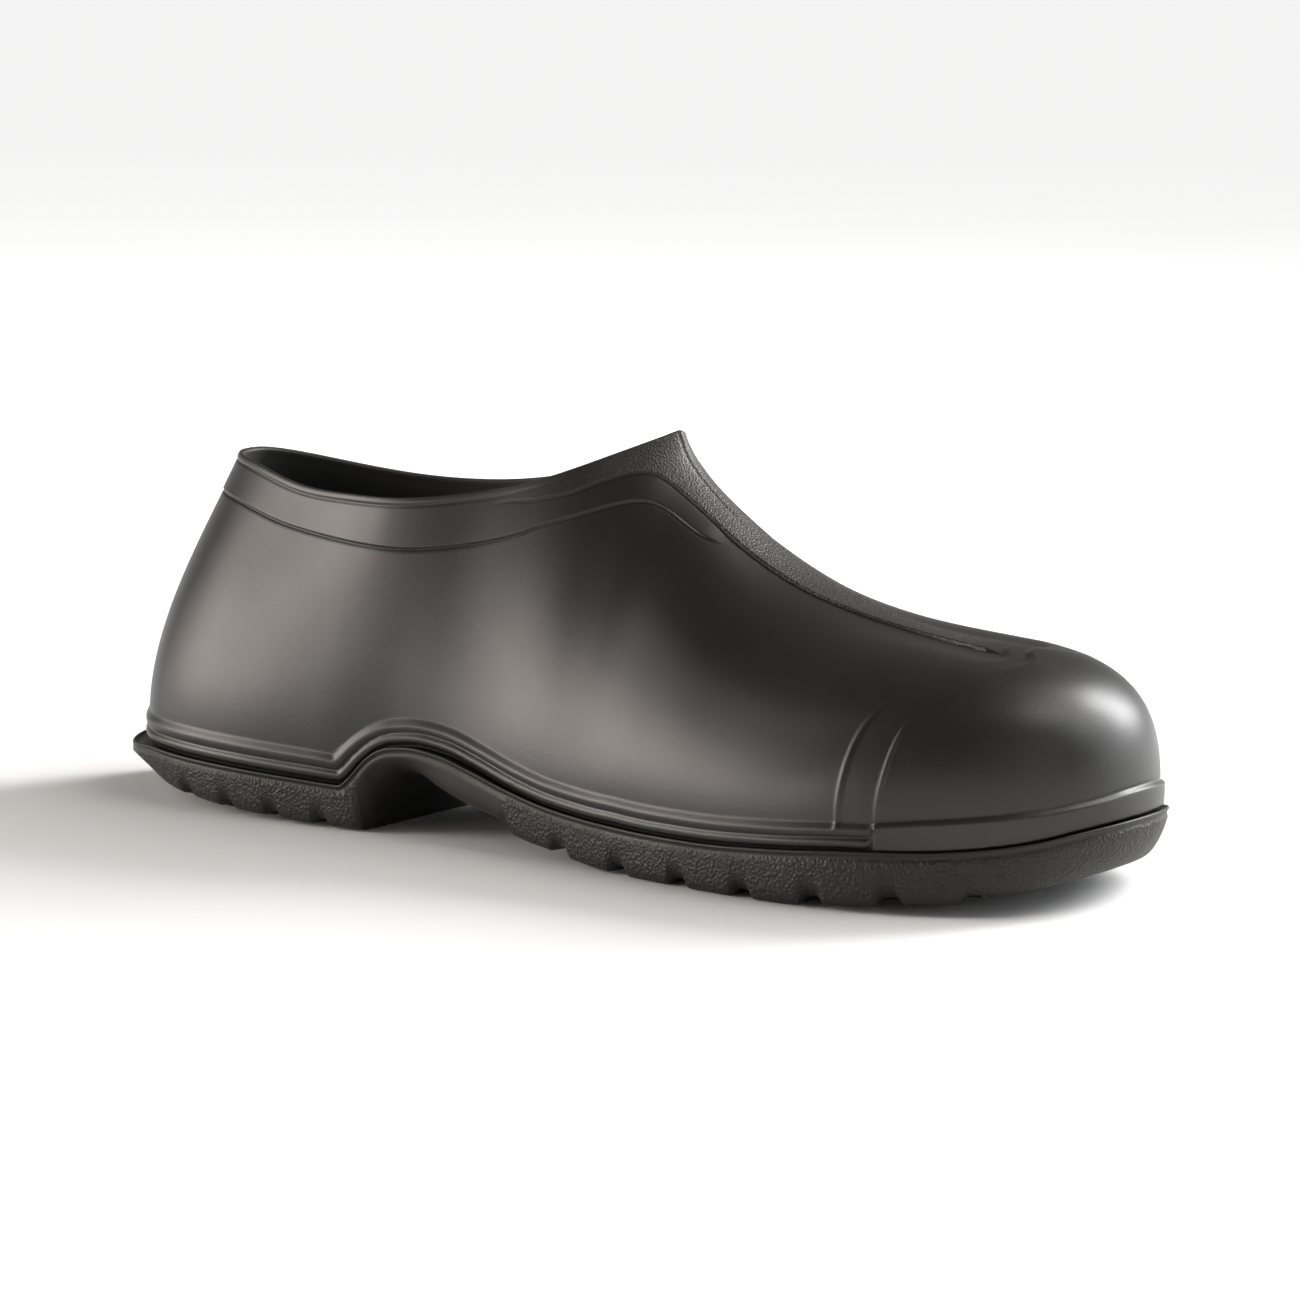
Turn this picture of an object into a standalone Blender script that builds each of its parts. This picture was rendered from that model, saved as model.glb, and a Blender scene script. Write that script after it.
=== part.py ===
"""Moulded slip-on work overshoe, left foot, size for a large safety shoe.

Two mouldings: a hollow upper, open at the collar and underneath, and an outsole whose top is the floor inside.
All tables are in millimetres: x runs from the back of the heel (0) to the toe (LENGTH), y to the wearer's left, z up
from the ground. The medial side is -y. The model is then set in metres with its origin under the middle of its box.
"""
import bpy
import bmesh
import numpy as np

for old in list(bpy.data.objects):
    bpy.data.objects.remove(old, do_unlink=True)

# ---- driving sizes (mm) -------------------------------------------------------------------------
LENGTH = 316.0                             # outsole, heel lip to toe
WALL = 2.2                                 # upper's wall
GAP = 0.3                                  # clearance between the two mouldings
TREAD = 2.2                                # how far lugs and tread stand below the plain bottom
HEEL_RADIUS, TOE_RADIUS = 40.0, 46.0       # plan radii of the outsole's ends
TOE_SKEW = 9.0                             # the toe leans this far to the medial side
LEDGE_SIDE, LEDGE_HEEL, LEDGE_TOE = 2.0, 6.5, 2.6   # outsole beyond the upper
COLLAR_BACK, COLLAR_PEAK, POLE = 34.0, 173.0, 272.0  # x of the collar's ends and of the top of the toe
COLLAR_BACK_R, COLLAR_PEAK_R = 26.0, 9.0  # plan radii of the collar's ends
FOXING = 0.9                               # height of the foxing band around the foot of the upper
SPUR = 3.3                                 # fall of the outsole's ledge to its lip behind the heel
SIDES = (-1, 1)                            # medial, lateral

# ---- tables -------------------------------------------------------------------------------------
PLAN = [  # share of the length; half width medial; half width lateral
    (0.10, 37.0, 37.0),
    (0.20, 42.5, 43.0),
    (0.30, 42.0, 43.5),
    (0.40, 42.0, 46.0),
    (0.50, 45.0, 50.5),
    (0.60, 50.0, 55.0),
    (0.70, 53.5, 57.5),
    (0.80, 52.5, 55.5),
    (0.90, 42.5, 44.0),
]
SEAT = [  # x; height of the edge under the upper, medial; lateral
    (0, 16.6, 16.6), (12, 15.3, 15.3), (30, 14.2, 14.2), (60, 13.1, 13.1), (88, 12.0, 12.0), (95, 11.7, 11.7),
    (98, 14.2, 13.3), (101, 17.4, 15.6), (104, 20.1, 17.7), (107, 22.0, 19.2), (110, 23.1, 20.1), (118, 23.9, 20.8),
    (127, 22.9, 20.2), (138, 20.0, 18.0), (150, 16.6, 15.4), (165, 13.7, 13.2), (182, 12.3, 12.2), (200, 11.8, 11.8), (214, 11.9, 11.9), (240, 13.2, 13.2),
    (267, 15.3, 15.3), (294, 18.2, 18.2), (310, 20.6, 20.6), (316, 21.8, 21.8),
]
BOTTOM = [  # x; height of the plain bottom, without tread; height of the floor inside
    (0, 11.0, 11.4), (6, 8.6, 11.0), (14, 5.2, 10.6), (24, 2.6, 10.4), (32, 2.2, 10.4), (60, 2.2, 9.8), (92, 2.2, 9.4),
    (101, 2.2, 11.0), (102.6, 5.6, 12.4), (105.5, 10.6, 15.0), (109, 14.0, 17.8), (114, 16.0, 20.0), (119, 16.2, 20.6),
    (126, 14.7, 19.6), (135, 12.2, 17.2), (145, 9.9, 14.6), (155, 8.1, 12.6), (165, 6.6, 11.0), (178, 4.7, 9.4),
    (192, 3.1, 8.4), (205, 2.2, 8.0), (238, 2.2, 8.2), (252, 2.9, 9.0), (268, 4.1, 10.4), (282, 5.3, 11.8),
    (294, 6.6, 13.2), (304, 8.2, 14.8), (312, 10.2, 16.6), (316, 11.6, 17.6),
]
COLLAR = [  # share from back to peak; half width medial; half width lateral
    (0.12, 21.0, 21.0),
    (0.30, 29.0, 29.5),
    (0.50, 31.6, 32.6),
    (0.70, 28.6, 30.0),
    (0.88, 18.0, 19.0),
]
COLLAR_Z = [  # x; height of the collar's edge medial; lateral
    (34, 94.0, 94.0), (48, 91.5, 90.6), (69, 88.0, 86.9), (90, 86.9, 85.6), (110, 87.5, 87.4), (131, 90.2, 91.8), (152, 96.0, 97.3),
    (166, 102.3, 102.3), (173, 106.0, 106.0), (177, 108.6, 108.6),
]
RIDGE = [  # x; height of the vamp's ridge, and behind the peak of the last's crest above the collar
    (95, 206.0), (118, 174.0), (140, 145.2), (155, 126.8), (166, 114.0), (173, 106.0), (178, 99.0), (185, 91.2), (194, 83.5), (205, 76.2),
    (217, 70.5), (229, 66.6), (243.5, 63.7), (259, 62.0), (275, 60.8), (288, 60.2),
]
WALLS = [
    # foot: share of the outline's angle; top: share of the collar's angle; flare at the foot (deg); reach at the foot (share
    # of the chord); lean at the collar (deg); reach at the collar (mm); toward: 1 along the collar's normal, 0 straight across
    (0.00, 0.000, 2.0, 0.36, 27.0, 27.0, 1.0),
    (0.18, 0.200, 6.0, 0.36, 23.0, 27.0, 1.0),
    (0.30, 0.380, 8.0, 0.36, 16.0, 26.0, 0.6),
    (0.38, 0.520, 9.0, 0.36, 13.5, 25.0, 0.1),
    (0.45, 0.700, 9.0, 0.38, 17.5, 24.0, 0.0),
    (0.50, 0.850, 9.0, 0.40, 28.0, 22.0, 0.0),
]
ARCHES = [  # x of the foot; x of the top; flare at the foot (deg); rise of the wall; half width of the crown
    (95, 97, 9.0, 34.0, 9.0),
    (118, 118, 9.0, 34.0, 9.5),
    (140, 139, 9.0, 34.0, 8.0),
    (160, 158, 9.0, 36.0, 8.0),
    (176, 173, 9.0, 38.0, 9.0),
    (190, 187, 9.0, 38.0, 15.5),
    (205, 202, 9.0, 36.0, 22.0),
    (225, 222.5, 9.0, 33.0, 27.5),
    (245, 244, 9.0, 30.0, 33.5),
    (270, 272, 9.0, 28.0, 36.0),
    (316, 272, 4.0, 25.0, 32.0),
]
FAN_X = 270.0         # from here forward the columns meet in the pole on top of the toe
BLEND = 88.0, 140.0   # between these the side walls pass from the collar's own columns to arches over the foot
LUGS = [  # first centre; pitch; count; length along the edge
    (47.0, 16.2, 4, 10.7),
    (164.8, 19.2, 7, 12.7),
]
TREADS = [  # start; end of the tread field along the shoe
    (-1.0, 101.0),
    (157.5, 287.0),
]


# ---- curves through the tables ------------------------------------------------------------------
def spline(rows, col):
    """Natural cubic spline of one column of a table over its first column."""
    xs = np.array([r[0] for r in rows], float)
    ys = np.array([r[col] for r in rows], float)
    n, h = len(xs), np.diff(xs)
    a, r = np.zeros((n, n)), np.zeros(n)
    a[0, 0] = a[-1, -1] = 1.0
    for i in range(1, n - 1):
        a[i, i - 1:i + 2] = h[i - 1], 2 * (h[i - 1] + h[i]), h[i]
        r[i] = 6 * ((ys[i + 1] - ys[i]) / h[i] - (ys[i] - ys[i - 1]) / h[i - 1])
    m = np.linalg.solve(a, r)

    def value(x):
        x = np.clip(np.asarray(x, float), xs[0], xs[-1])
        i = np.clip(np.searchsorted(xs, x, side="right") - 1, 0, n - 2)
        d, hi = x - xs[i], h[i]
        b = (ys[i + 1] - ys[i]) / hi - hi * (2 * m[i] + m[i + 1]) / 6
        return ys[i] + d * (b + d * (m[i] / 2 + d * (m[i + 1] - m[i]) / (6 * hi)))

    return value


def monotone(rows, col):
    """Monotone cubic of one column of a table: no swing between its rows."""
    xs = np.array([r[0] for r in rows], float)
    ys = np.array([r[col] for r in rows], float)
    h = np.diff(xs)
    s = np.diff(ys) / h
    d = np.zeros(len(xs))
    for i in range(1, len(xs) - 1):
        if s[i - 1] * s[i] > 0:
            w1, w2 = 2 * h[i] + h[i - 1], h[i] + 2 * h[i - 1]
            d[i] = (w1 + w2) / (w1 / s[i - 1] + w2 / s[i])
    d[0], d[-1] = s[0], s[-1]

    def value(x):
        x = np.clip(np.asarray(x, float), xs[0], xs[-1])
        i = np.clip(np.searchsorted(xs, x, side="right") - 1, 0, len(xs) - 2)
        t = (x - xs[i]) / h[i]
        return (ys[i] * (1 + 2 * t) * (1 - t) ** 2 + d[i] * h[i] * t * (1 - t) ** 2
                + ys[i + 1] * t * t * (3 - 2 * t) + d[i + 1] * h[i] * t * t * (t - 1))

    return value


def ease(a, b, x):
    t = np.clip((np.asarray(x, float) - a) / (b - a), 0, 1)
    return t * t * (3 - 2 * t)


def turn(share):
    return np.arccos(1 - 2 * np.clip(share, 0, 1))


def half_widths(rows, col, span, r_back, r_front):
    """Half width over the angle 0 to pi of an oval whose ends have the given radii."""
    g = [(0.0, np.sqrt(r_back * span / 2))]
    g += [(turn(r[0]), r[col] / np.sin(turn(r[0]))) for r in rows]
    g += [(np.pi, np.sqrt(r_front * span / 2))]
    f = spline(g, 1)
    return lambda t: np.sin(t) * f(t)


SPAN = COLLAR_PEAK - COLLAR_BACK
plan_half = {s: half_widths(PLAN, c, LENGTH, HEEL_RADIUS, TOE_RADIUS) for c, s in enumerate(SIDES, 1)}
collar_half = {s: half_widths(COLLAR, c, SPAN, COLLAR_BACK_R, COLLAR_PEAK_R) for c, s in enumerate(SIDES, 1)}
seat = {s: monotone(SEAT, c) for c, s in enumerate(SIDES, 1)}
base, floor = monotone(BOTTOM, 1), monotone(BOTTOM, 2)
collar_z = {s: spline(COLLAR_Z, c) for c, s in enumerate(SIDES, 1)}
ridge_z = spline(RIDGE, 1)
wall_top, wall_lean, wall_toward = (monotone(WALLS, k) for k in (1, 4, 6))
wall_flare, wall_r0, wall_r1 = (spline(WALLS, k) for k in (2, 3, 5))
arch_top = monotone(ARCHES, 1)
arch_flare, arch_rise, arch_crown = (spline(ARCHES, k) for k in (2, 3, 4))
UP = np.array([0.0, 0.0, 1.0])


# ---- plan, seat, collar and ridge ---------------------------------------------------------------
def axis_y(x):
    return -TOE_SKEW * ease(0.40 * LENGTH, 1.08 * LENGTH, x)


def outline(t, side):
    """Outsole's edge in plan; t is 0 at the back of the heel and pi at the toe."""
    x = LENGTH * (1 - np.cos(t)) / 2
    return np.stack([x, axis_y(x) + side * plan_half[side](t)], -1)


def collar(t, side):
    x = COLLAR_BACK + SPAN * (1 - np.cos(t)) / 2
    return np.stack([x, axis_y(x) + side * collar_half[side](t), collar_z[side](x)], -1)


def ridge(x):
    return np.stack([np.asarray(x, float), axis_y(x), ridge_z(x)], -1)


def outward(curve, t, side, e=1e-3):
    """Outward normal in plan of an oval at the angle t."""
    d = curve(t + e, side)[:2] - curve(t - e, side)[:2]
    n = np.array([-d[1], d[0]]) * side
    return np.append(n / np.linalg.norm(n), 0)


def ledge(x):
    return (LEDGE_SIDE + (LEDGE_HEEL - LEDGE_SIDE) * (1 - ease(2, 26, x))
            + (LEDGE_TOE - LEDGE_SIDE) * ease(LENGTH - 60, LENGTH, x))


def inset(t, side, depth, z):
    p = np.append(outline(t, side), z)
    return p - outward(outline, t, side) * depth


def foot(t, side):
    """Lower edge of the upper."""
    x = outline(t, side)[0]
    return inset(t, side, ledge(x), seat[side](x))


# ---- columns of the upper, from its foot to the collar or to the ridge --------------------------
def bezier(c, s):
    s = np.asarray(s)[:, None]
    return c[0] * (1 - s) ** 3 + 3 * c[1] * s * (1 - s) ** 2 + 3 * c[2] * s * s * (1 - s) + c[3] * s ** 3


def lengths(pts):
    return np.r_[0, np.cumsum(np.linalg.norm(np.diff(pts, axis=0), axis=1))]


def resample(pts, want):
    d = lengths(pts)
    return np.stack([np.interp(want, d, pts[:, k]) for k in range(3)], -1)


def wall_column(t, side):
    p = t / np.pi
    f, a = foot(t, side), np.pi * float(wall_top(p))
    q, w = collar(a, side), float(wall_toward(p))
    inward = (1 - w) * np.array([0.0, -side, 0.0]) - w * outward(collar, a, side)
    inward = inward / np.linalg.norm(inward)
    flare, lean = np.radians(wall_flare(p)), np.radians(wall_lean(p))
    d0 = outward(outline, t, side) * np.sin(flare) + UP * np.cos(flare)
    d1 = inward * np.sin(lean) + UP * np.cos(lean)
    return np.array([f, f + d0 * np.linalg.norm(q - f) * wall_r0(p), q - d1 * wall_r1(p), q])


def arch_column(t, side):
    f, x = foot(t, side), outline(t, side)[0]
    top = float(arch_top(x))
    q, back = ridge(top), ridge(top - 0.5) - ridge(top + 0.5)
    fan = np.pi / 2 * max(0.0, (t - turn(FAN_X / LENGTH)) / (np.pi - turn(FAN_X / LENGTH)))
    d1 = np.cos(fan) * np.array([0.0, -side, 0.0]) + np.sin(fan) * back / np.linalg.norm(back)
    flare = np.radians(arch_flare(x))
    d0 = outward(outline, t, side) * np.sin(flare) + UP * np.cos(flare)
    return np.array([f, f + d0 * arch_rise(x), q - d1 * arch_crown(x), q])


def column(t, side, n=161):
    """Evenly spaced points of one column of the outer form."""
    x = outline(t, side)[0]
    w = float(ease(*BLEND, x))
    wall = arch = np.zeros((n, 3))
    if w < 1:
        wall = bezier(wall_column(t, side), np.linspace(0, 1, 4 * n))
        wall = resample(wall, np.linspace(0, lengths(wall)[-1], n))
    if w > 0:
        arch = bezier(arch_column(t, side), np.linspace(0, 1, 8 * n))
        over = arch[:, 2] - collar_z[side](arch[:, 0])
        if arch_top(x) < COLLAR_PEAK and over[-1] > 0:   # cut the last's form at the collar
            k = int(np.argmax(over > 0))
            s = over[k - 1] / (over[k - 1] - over[k])
            arch = np.vstack([arch[:k], arch[k - 1] + s * (arch[k] - arch[k - 1])])
        arch = resample(arch, np.linspace(0, lengths(arch)[-1], n))
    return (1 - w) * wall + w * arch


# ---- meshes -------------------------------------------------------------------------------------
BOX = [outline(np.linspace(0, np.pi, 721), s) for s in SIDES]
ORIGIN = np.array([LENGTH / 2, (BOX[0][:, 1].min() + BOX[1][:, 1].max()) / 2, 0.0])


class Loft:
    """Vertices and faces of a form lofted from columns that run around it."""

    def __init__(self):
        self.bm = bmesh.new()
        self.named = {}

    def vert(self, p, name=None):
        if name is not None and name in self.named:
            return self.named[name]
        v = self.bm.verts.new(tuple((np.asarray(p) - ORIGIN) * 0.001))
        if name is not None:
            self.named[name] = v
        return v

    def face(self, *verts):
        ring = list(dict.fromkeys(verts))
        if len(ring) > 2:
            self.bm.faces.new(ring)

    def skin(self, a, b):
        for j in range(len(a) - 1):
            self.face(a[j], b[j], b[j + 1], a[j + 1])

    def finish(self, name, material, collection):
        bmesh.ops.recalc_face_normals(self.bm, faces=self.bm.faces)
        mesh = bpy.data.meshes.new(name)
        self.bm.to_mesh(mesh)
        self.bm.free()
        mesh.shade_smooth()
        mesh.materials.append(material)
        ob = bpy.data.objects.new(name, mesh)
        collection.objects.link(ob)
        return ob


def around(stations):
    """Columns right round the shoe: heel, medial side, toe, lateral side."""
    last = len(stations) - 1
    return ([(i, stations[i], -1) for i in range(last + 1)] + [(i, stations[i], 1) for i in range(last - 1, 0, -1)])


def waist_stations():
    """Where the seat climbs from the heel over the breast: close stations, shared by both mouldings."""
    rows = [r[0] for r in SEAT if 88 <= r[0] <= 150]
    return [rows[0]] + [x for a, b in zip(rows, rows[1:]) for x in ((a + b) / 2, b)]


def upper_stations():
    waist = waist_stations()
    peak = next(r[0] for r in ARCHES if r[1] == COLLAR_PEAK)
    back = LENGTH * (1 - np.cos(np.linspace(0, turn(waist[0] / LENGTH), 13)[:-1])) / 2
    mid = peak - (peak - waist[-1]) * (1 - np.linspace(0, 1, 6)[1:]) ** 1.7
    vamp = np.linspace(peak, FAN_X, 11)[1:]
    toe = LENGTH * (1 - np.cos(np.linspace(turn(FAN_X / LENGTH), np.pi, 9)[1:])) / 2
    return np.r_[back, waist, mid, vamp, toe]


FOOT_ROWS = [(0.0, 0.0), (1.0, 0.0), (1.9, 1.0), (5.2, 1.0), (6.3, 0.0)]   # length up from the foot; share of the foxing
MID_ROWS = 8


def build_upper(material, collection):
    loft = Loft()
    cols = []
    for i, x, side in around(upper_stations()):
        t = float(turn(x / LENGTH))
        pts = column(t, side)
        total = lengths(pts)[-1]
        low = [r[0] for r in FOOT_ROWS]
        rows = np.r_[low, low[-1] + (total - low[-1]) * np.arange(1, MID_ROWS + 1) / MID_ROWS]
        grid = resample(pts, rows)
        out = outward(outline, t, side)
        top = float(arch_top(x)) if x > BLEND[0] else 0.0
        name = "pole" if x >= FAN_X else ("ridge", i) if top >= COLLAR_PEAK else None
        verts = [loft.vert(p + out * FOXING * share) for p, (_, share) in zip(grid, FOOT_ROWS)]
        verts += [loft.vert(p) for p in grid[len(low):-1]] + [loft.vert(grid[-1], name)]
        cols.append(verts)
    for a, b in zip(cols, cols[1:] + cols[:1]):
        loft.skin(a, b)
    ob = loft.finish("upper", material, collection)
    wall = ob.modifiers.new("wall", "SOLIDIFY")
    wall.thickness = WALL * 0.001
    wall.offset = -1.0
    wall.use_rim = True
    return ob


STEP = 0.7   # length over which a lug's end falls to the plain bottom


def lug_rows():
    for first, pitch, count, size in LUGS:
        for i in range(count):
            yield first + pitch * i - size / 2, first + pitch * i + size / 2


def outsole_stations():
    """x, and whether the edge is a lug there."""
    lugs = list(lug_rows())
    heel, toe = turn(lugs[0][0] / LENGTH), turn((lugs[-1][1] + 3) / LENGTH)
    rows = [(x, 1) for x in LENGTH * (1 - np.cos(np.linspace(0, heel, 10)[:-1])) / 2]
    for a, b in lugs:
        rows += [(a - STEP, 0), (a, 1), (b, 1)] + ([(b + STEP, 0)] if treads(b + STEP) else [])
    near = [x for x, _ in rows]
    for x in waist_stations():
        if min(abs(x - n) for n in near) > 0.4:
            rows.append((x, int(any(a <= x <= b for a, b in lugs))))
    rows += [(x, 0) for x in LENGTH * (1 - np.cos(np.linspace(toe, np.pi, 9))) / 2]
    return sorted(rows)


def treads(x):
    return any(a <= x <= b for a, b in TREADS)


def build_outsole(material, collection):
    loft = Loft()
    rows = outsole_stations()
    cols = []
    for i, (x, lug), side in around(rows):
        t = float(turn(x / LENGTH))
        zs, zb = float(seat[side](x)) - GAP, float(base(x))
        lip = ledge(x) + WALL
        zo = zs - SPUR * (1 - float(ease(2, 26, x)))
        low = zb - TREAD if lug else zb
        field = zb - TREAD if treads(x) else zb
        wall = min(zb + 4.0, 0.5 * (zo + zb))
        cols.append([loft.vert(inset(t, side, d, z)) for d, z in (
            (15.0, float(floor(x))),           # floor inside
            (lip + 2.4, float(floor(x))),      # foot of the step under the upper's edge
            (lip + 1.2, zs),                   # ledge that carries the upper
            (0.5, zo),
            (0.0, zo - 0.8),                   # outer lip
            (0.8, wall),                       # side of the sole
            (2.2 if lug else 3.0, low + (0.5 if lug else 0.0)),
            (11.5, low),                       # edge lugs and the gaps between them
            (12.3, field),                     # tread field
        )])
    for a, b in zip(cols, cols[1:] + cols[:1]):
        loft.skin(a, b)
    n = len(rows) - 1
    for i in range(n):                         # floor and tread field, from side to side
        a, b = cols[i], cols[i + 1]
        c, d = cols[(-i) % len(cols)], cols[-i - 1]
        loft.face(a[0], b[0], d[0], c[0])
        loft.face(a[-1], b[-1], d[-1], c[-1])
    return loft.finish("outsole", material, collection)


def material(name, colour, roughness):
    m = bpy.data.materials.new(name)
    m.use_nodes = True
    shader = m.node_tree.nodes["Principled BSDF"]
    shader.inputs["Base Color"].default_value = (*colour, 1.0)
    shader.inputs["Roughness"].default_value = roughness
    shader.inputs["Metallic"].default_value = 0.0
    return m


shoe = bpy.data.collections.new("overshoe")
bpy.context.scene.collection.children.link(shoe)
anchor = bpy.data.objects.new("overshoe_origin", None)
shoe.objects.link(anchor)
for piece in (build_upper(material("upper_pvc", (0.020, 0.019, 0.018), 0.38), shoe),
              build_outsole(material("outsole_pvc", (0.022, 0.021, 0.020), 0.58), shoe)):
    piece.parent = anchor
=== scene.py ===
"""Looks of a moulded slip-on work overshoe, left shoe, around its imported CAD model.

Working sizes are in mm: x from the back of the heel, y to the left, z up; the medial side is -1, the lateral side +1.
"""
import math

import bpy
import numpy as np
from mathutils import Matrix, Vector


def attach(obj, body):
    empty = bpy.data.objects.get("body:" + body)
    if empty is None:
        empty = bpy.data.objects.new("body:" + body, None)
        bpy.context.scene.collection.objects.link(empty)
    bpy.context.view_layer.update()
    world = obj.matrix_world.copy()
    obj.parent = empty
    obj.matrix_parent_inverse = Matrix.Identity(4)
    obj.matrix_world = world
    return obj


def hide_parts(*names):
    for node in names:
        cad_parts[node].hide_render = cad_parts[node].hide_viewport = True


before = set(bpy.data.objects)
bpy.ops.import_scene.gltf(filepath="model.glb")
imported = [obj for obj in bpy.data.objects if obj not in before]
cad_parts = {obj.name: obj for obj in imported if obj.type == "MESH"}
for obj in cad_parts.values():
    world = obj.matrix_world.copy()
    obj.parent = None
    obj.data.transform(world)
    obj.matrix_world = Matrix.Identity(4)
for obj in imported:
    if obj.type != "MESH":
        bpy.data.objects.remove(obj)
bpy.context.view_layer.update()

# ---- driving sizes (mm) -------------------------------------------------------------------------
LENGTH = 316.0                             # outsole, heel lip to toe
WALL = 2.2                                 # upper's wall
GAP = 0.3                                  # clearance between the two mouldings
TREAD = 2.2                                # how far lugs and tread stand below the plain bottom
HEEL_RADIUS, TOE_RADIUS = 40.0, 46.0       # plan radii of the outsole's ends
TOE_SKEW = 9.0                             # the toe leans this far to the medial side
LEDGE_SIDE, LEDGE_HEEL, LEDGE_TOE = 2.0, 6.5, 2.6   # outsole beyond the upper
COLLAR_BACK, COLLAR_PEAK, POLE = 33.6, 173.0, 272.0  # x of the collar's ends and of the top of the toe
COLLAR_BACK_R, COLLAR_PEAK_R = 13.0, 7.0  # plan radii of the collar's ends
FOXING = 0.9                               # height of the foxing band around the foot of the upper
SPUR = 3.3                                 # fall of the outsole's ledge to its lip behind the heel
CORNER = 95.0                              # x where the seat turns up from the heel
SIDES = (-1, 1)                            # medial, lateral

# ---- tables -------------------------------------------------------------------------------------
PLAN = [  # share of the length; half width medial; half width lateral
    (0.10, 37.0, 37.0),
    (0.20, 42.5, 43.0),
    (0.30, 42.0, 43.5),
    (0.40, 42.0, 46.0),
    (0.50, 45.0, 50.5),
    (0.60, 50.0, 55.0),
    (0.70, 53.5, 57.5),
    (0.80, 52.5, 55.5),
    (0.90, 42.5, 44.0),
]
SEAT = [  # x; height of the edge under the upper, medial; lateral
    (0, 16.6, 16.6), (12, 15.3, 15.3), (30, 14.2, 14.2), (60, 13.1, 13.1), (88, 12.0, 12.0), (95, 11.7, 11.7),
    (98, 14.2, 13.3), (101, 17.4, 15.6), (104, 20.1, 17.7), (107, 22.0, 19.2), (110, 23.1, 20.1), (118, 23.9, 20.8),
    (127, 22.9, 20.2), (138, 20.0, 18.0), (150, 16.6, 15.4), (165, 13.7, 13.2), (182, 12.3, 12.2), (200, 11.8, 11.8), (214, 11.9, 11.9), (240, 13.2, 13.2),
    (258, 14.5, 14.5), (267, 14.9, 14.9), (279, 15.4, 15.4), (294, 16.8, 16.8), (303, 18.4, 18.4), (310, 20.3, 20.3), (316, 21.8, 21.8),
]
SEAT_LEVEL = [  # the same without the arch, for the run of the side wall
    (110, 11.6, 11.6), (140, 11.8, 11.8), (165, 12.3, 12.2),
]
BOTTOM = [  # x; height of the plain bottom, without tread; height of the floor inside
    (0, 11.0, 11.4), (6, 8.6, 11.0), (14, 5.2, 10.6), (24, 2.6, 10.4), (32, 2.2, 10.4), (60, 2.2, 9.8), (92, 2.2, 9.4),
    (101, 2.2, 11.0), (102.6, 5.6, 12.4), (105.5, 10.6, 15.0), (109, 14.0, 17.8), (114, 16.0, 20.0), (119, 16.2, 20.6),
    (126, 14.2, 19.6), (132.5, 12.0, 17.8), (138.5, 10.3, 16.3), (144.5, 9.0, 14.7), (150, 7.6, 13.5), (156.5, 6.1, 12.4), (163, 5.2, 11.3), (175.5, 3.3, 9.7), (183, 2.6, 9.0),
    (195, 2.2, 8.4), (205, 2.2, 8.0), (238, 2.2, 8.2), (252, 2.9, 9.0), (268, 4.1, 10.4), (282, 5.3, 11.8),
    (294, 5.9, 13.2), (304, 7.6, 14.8), (312, 10.8, 16.6), (316, 13.4, 17.8),
]
COLLAR = [  # share from back to peak; half width medial; half width lateral
    (0.06, 13.5, 12.5),
    (0.14, 19.6, 19.0),
    (0.30, 26.6, 28.8),
    (0.50, 31.6, 32.6),
    (0.70, 28.6, 30.0),
    (0.88, 18.0, 19.0),
]
COLLAR_Z = [  # x; height of the collar's edge medial; lateral
    (34, 93.4, 93.4), (48, 92.2, 90.2), (69, 88.2, 86.2), (90, 87.2, 85.3), (110, 87.5, 87.2), (131, 90.2, 91.6), (152, 95.6, 96.8),
    (166, 101.6, 101.6), (173, 105.2, 105.2), (177, 107.8, 107.8),
]
RIDGE = [  # x; height of the vamp's ridge, and behind the peak of the last's crest above the collar
    (95, 206.0), (118, 174.0), (140, 145.2), (155, 126.8), (166, 113.4), (173, 105.2), (178, 98.7), (185, 91.4), (194, 84.1), (205, 76.6),
    (217, 70.5), (229, 66.6), (243.5, 63.7), (259, 62.0), (275, 60.8), (288, 60.2),
]
WALLS = [
    # foot: share of the outline's angle; top: share of the collar's angle; flare at the foot (deg); reach at the foot (share
    # of the chord); lean at the collar (deg); reach at the collar (mm); toward: 1 along the collar's normal, 0 straight across
    (0.00, 0.000, 2.0, 0.36, 27.0, 27.0, 1.0),
    (0.18, 0.200, 6.0, 0.36, 23.0, 27.0, 1.0),
    (0.30, 0.380, 8.0, 0.36, 16.0, 26.0, 0.6),
    (0.38, 0.520, 9.0, 0.36, 13.5, 25.0, 0.1),
    (0.45, 0.700, 9.0, 0.38, 17.5, 24.0, 0.0),
    (0.50, 0.850, 9.0, 0.40, 28.0, 22.0, 0.0),
]
ARCHES = [  # x of the foot; x of the top; flare at the foot (deg); rise of the wall; half width of the crown
    (95, 97, 9.0, 34.0, 9.0),
    (118, 118, 9.0, 34.0, 9.5),
    (140, 139, 9.0, 34.0, 8.0),
    (160, 158, 9.0, 36.0, 7.0),
    (176, 173, 9.0, 38.0, 6.0),
    (190, 187, 9.0, 38.0, 12.5),
    (205, 202, 9.0, 36.0, 20.5),
    (225, 222.5, 9.0, 33.0, 27.5),
    (245, 244, 9.0, 30.0, 33.5),
    (270, 272, 9.0, 29.0, 36.5),
    (316, 272, 4.0, 26.4, 33.5),
]
FAN_X = 270.0         # from here forward the columns meet in the pole on top of the toe
BLEND = 88.0, 140.0   # between these the side walls pass from the collar's own columns to arches over the foot
LUGS = [  # first centre; pitch; count; length along the edge
    (47.0, 16.2, 4, 10.7),
    (157.8, 20.45, 7, 14.1),
]
TREADS = [  # start; end of the tread field along the shoe
    (-1.0, 101.0),
    (157.5, 287.0),
]


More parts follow.
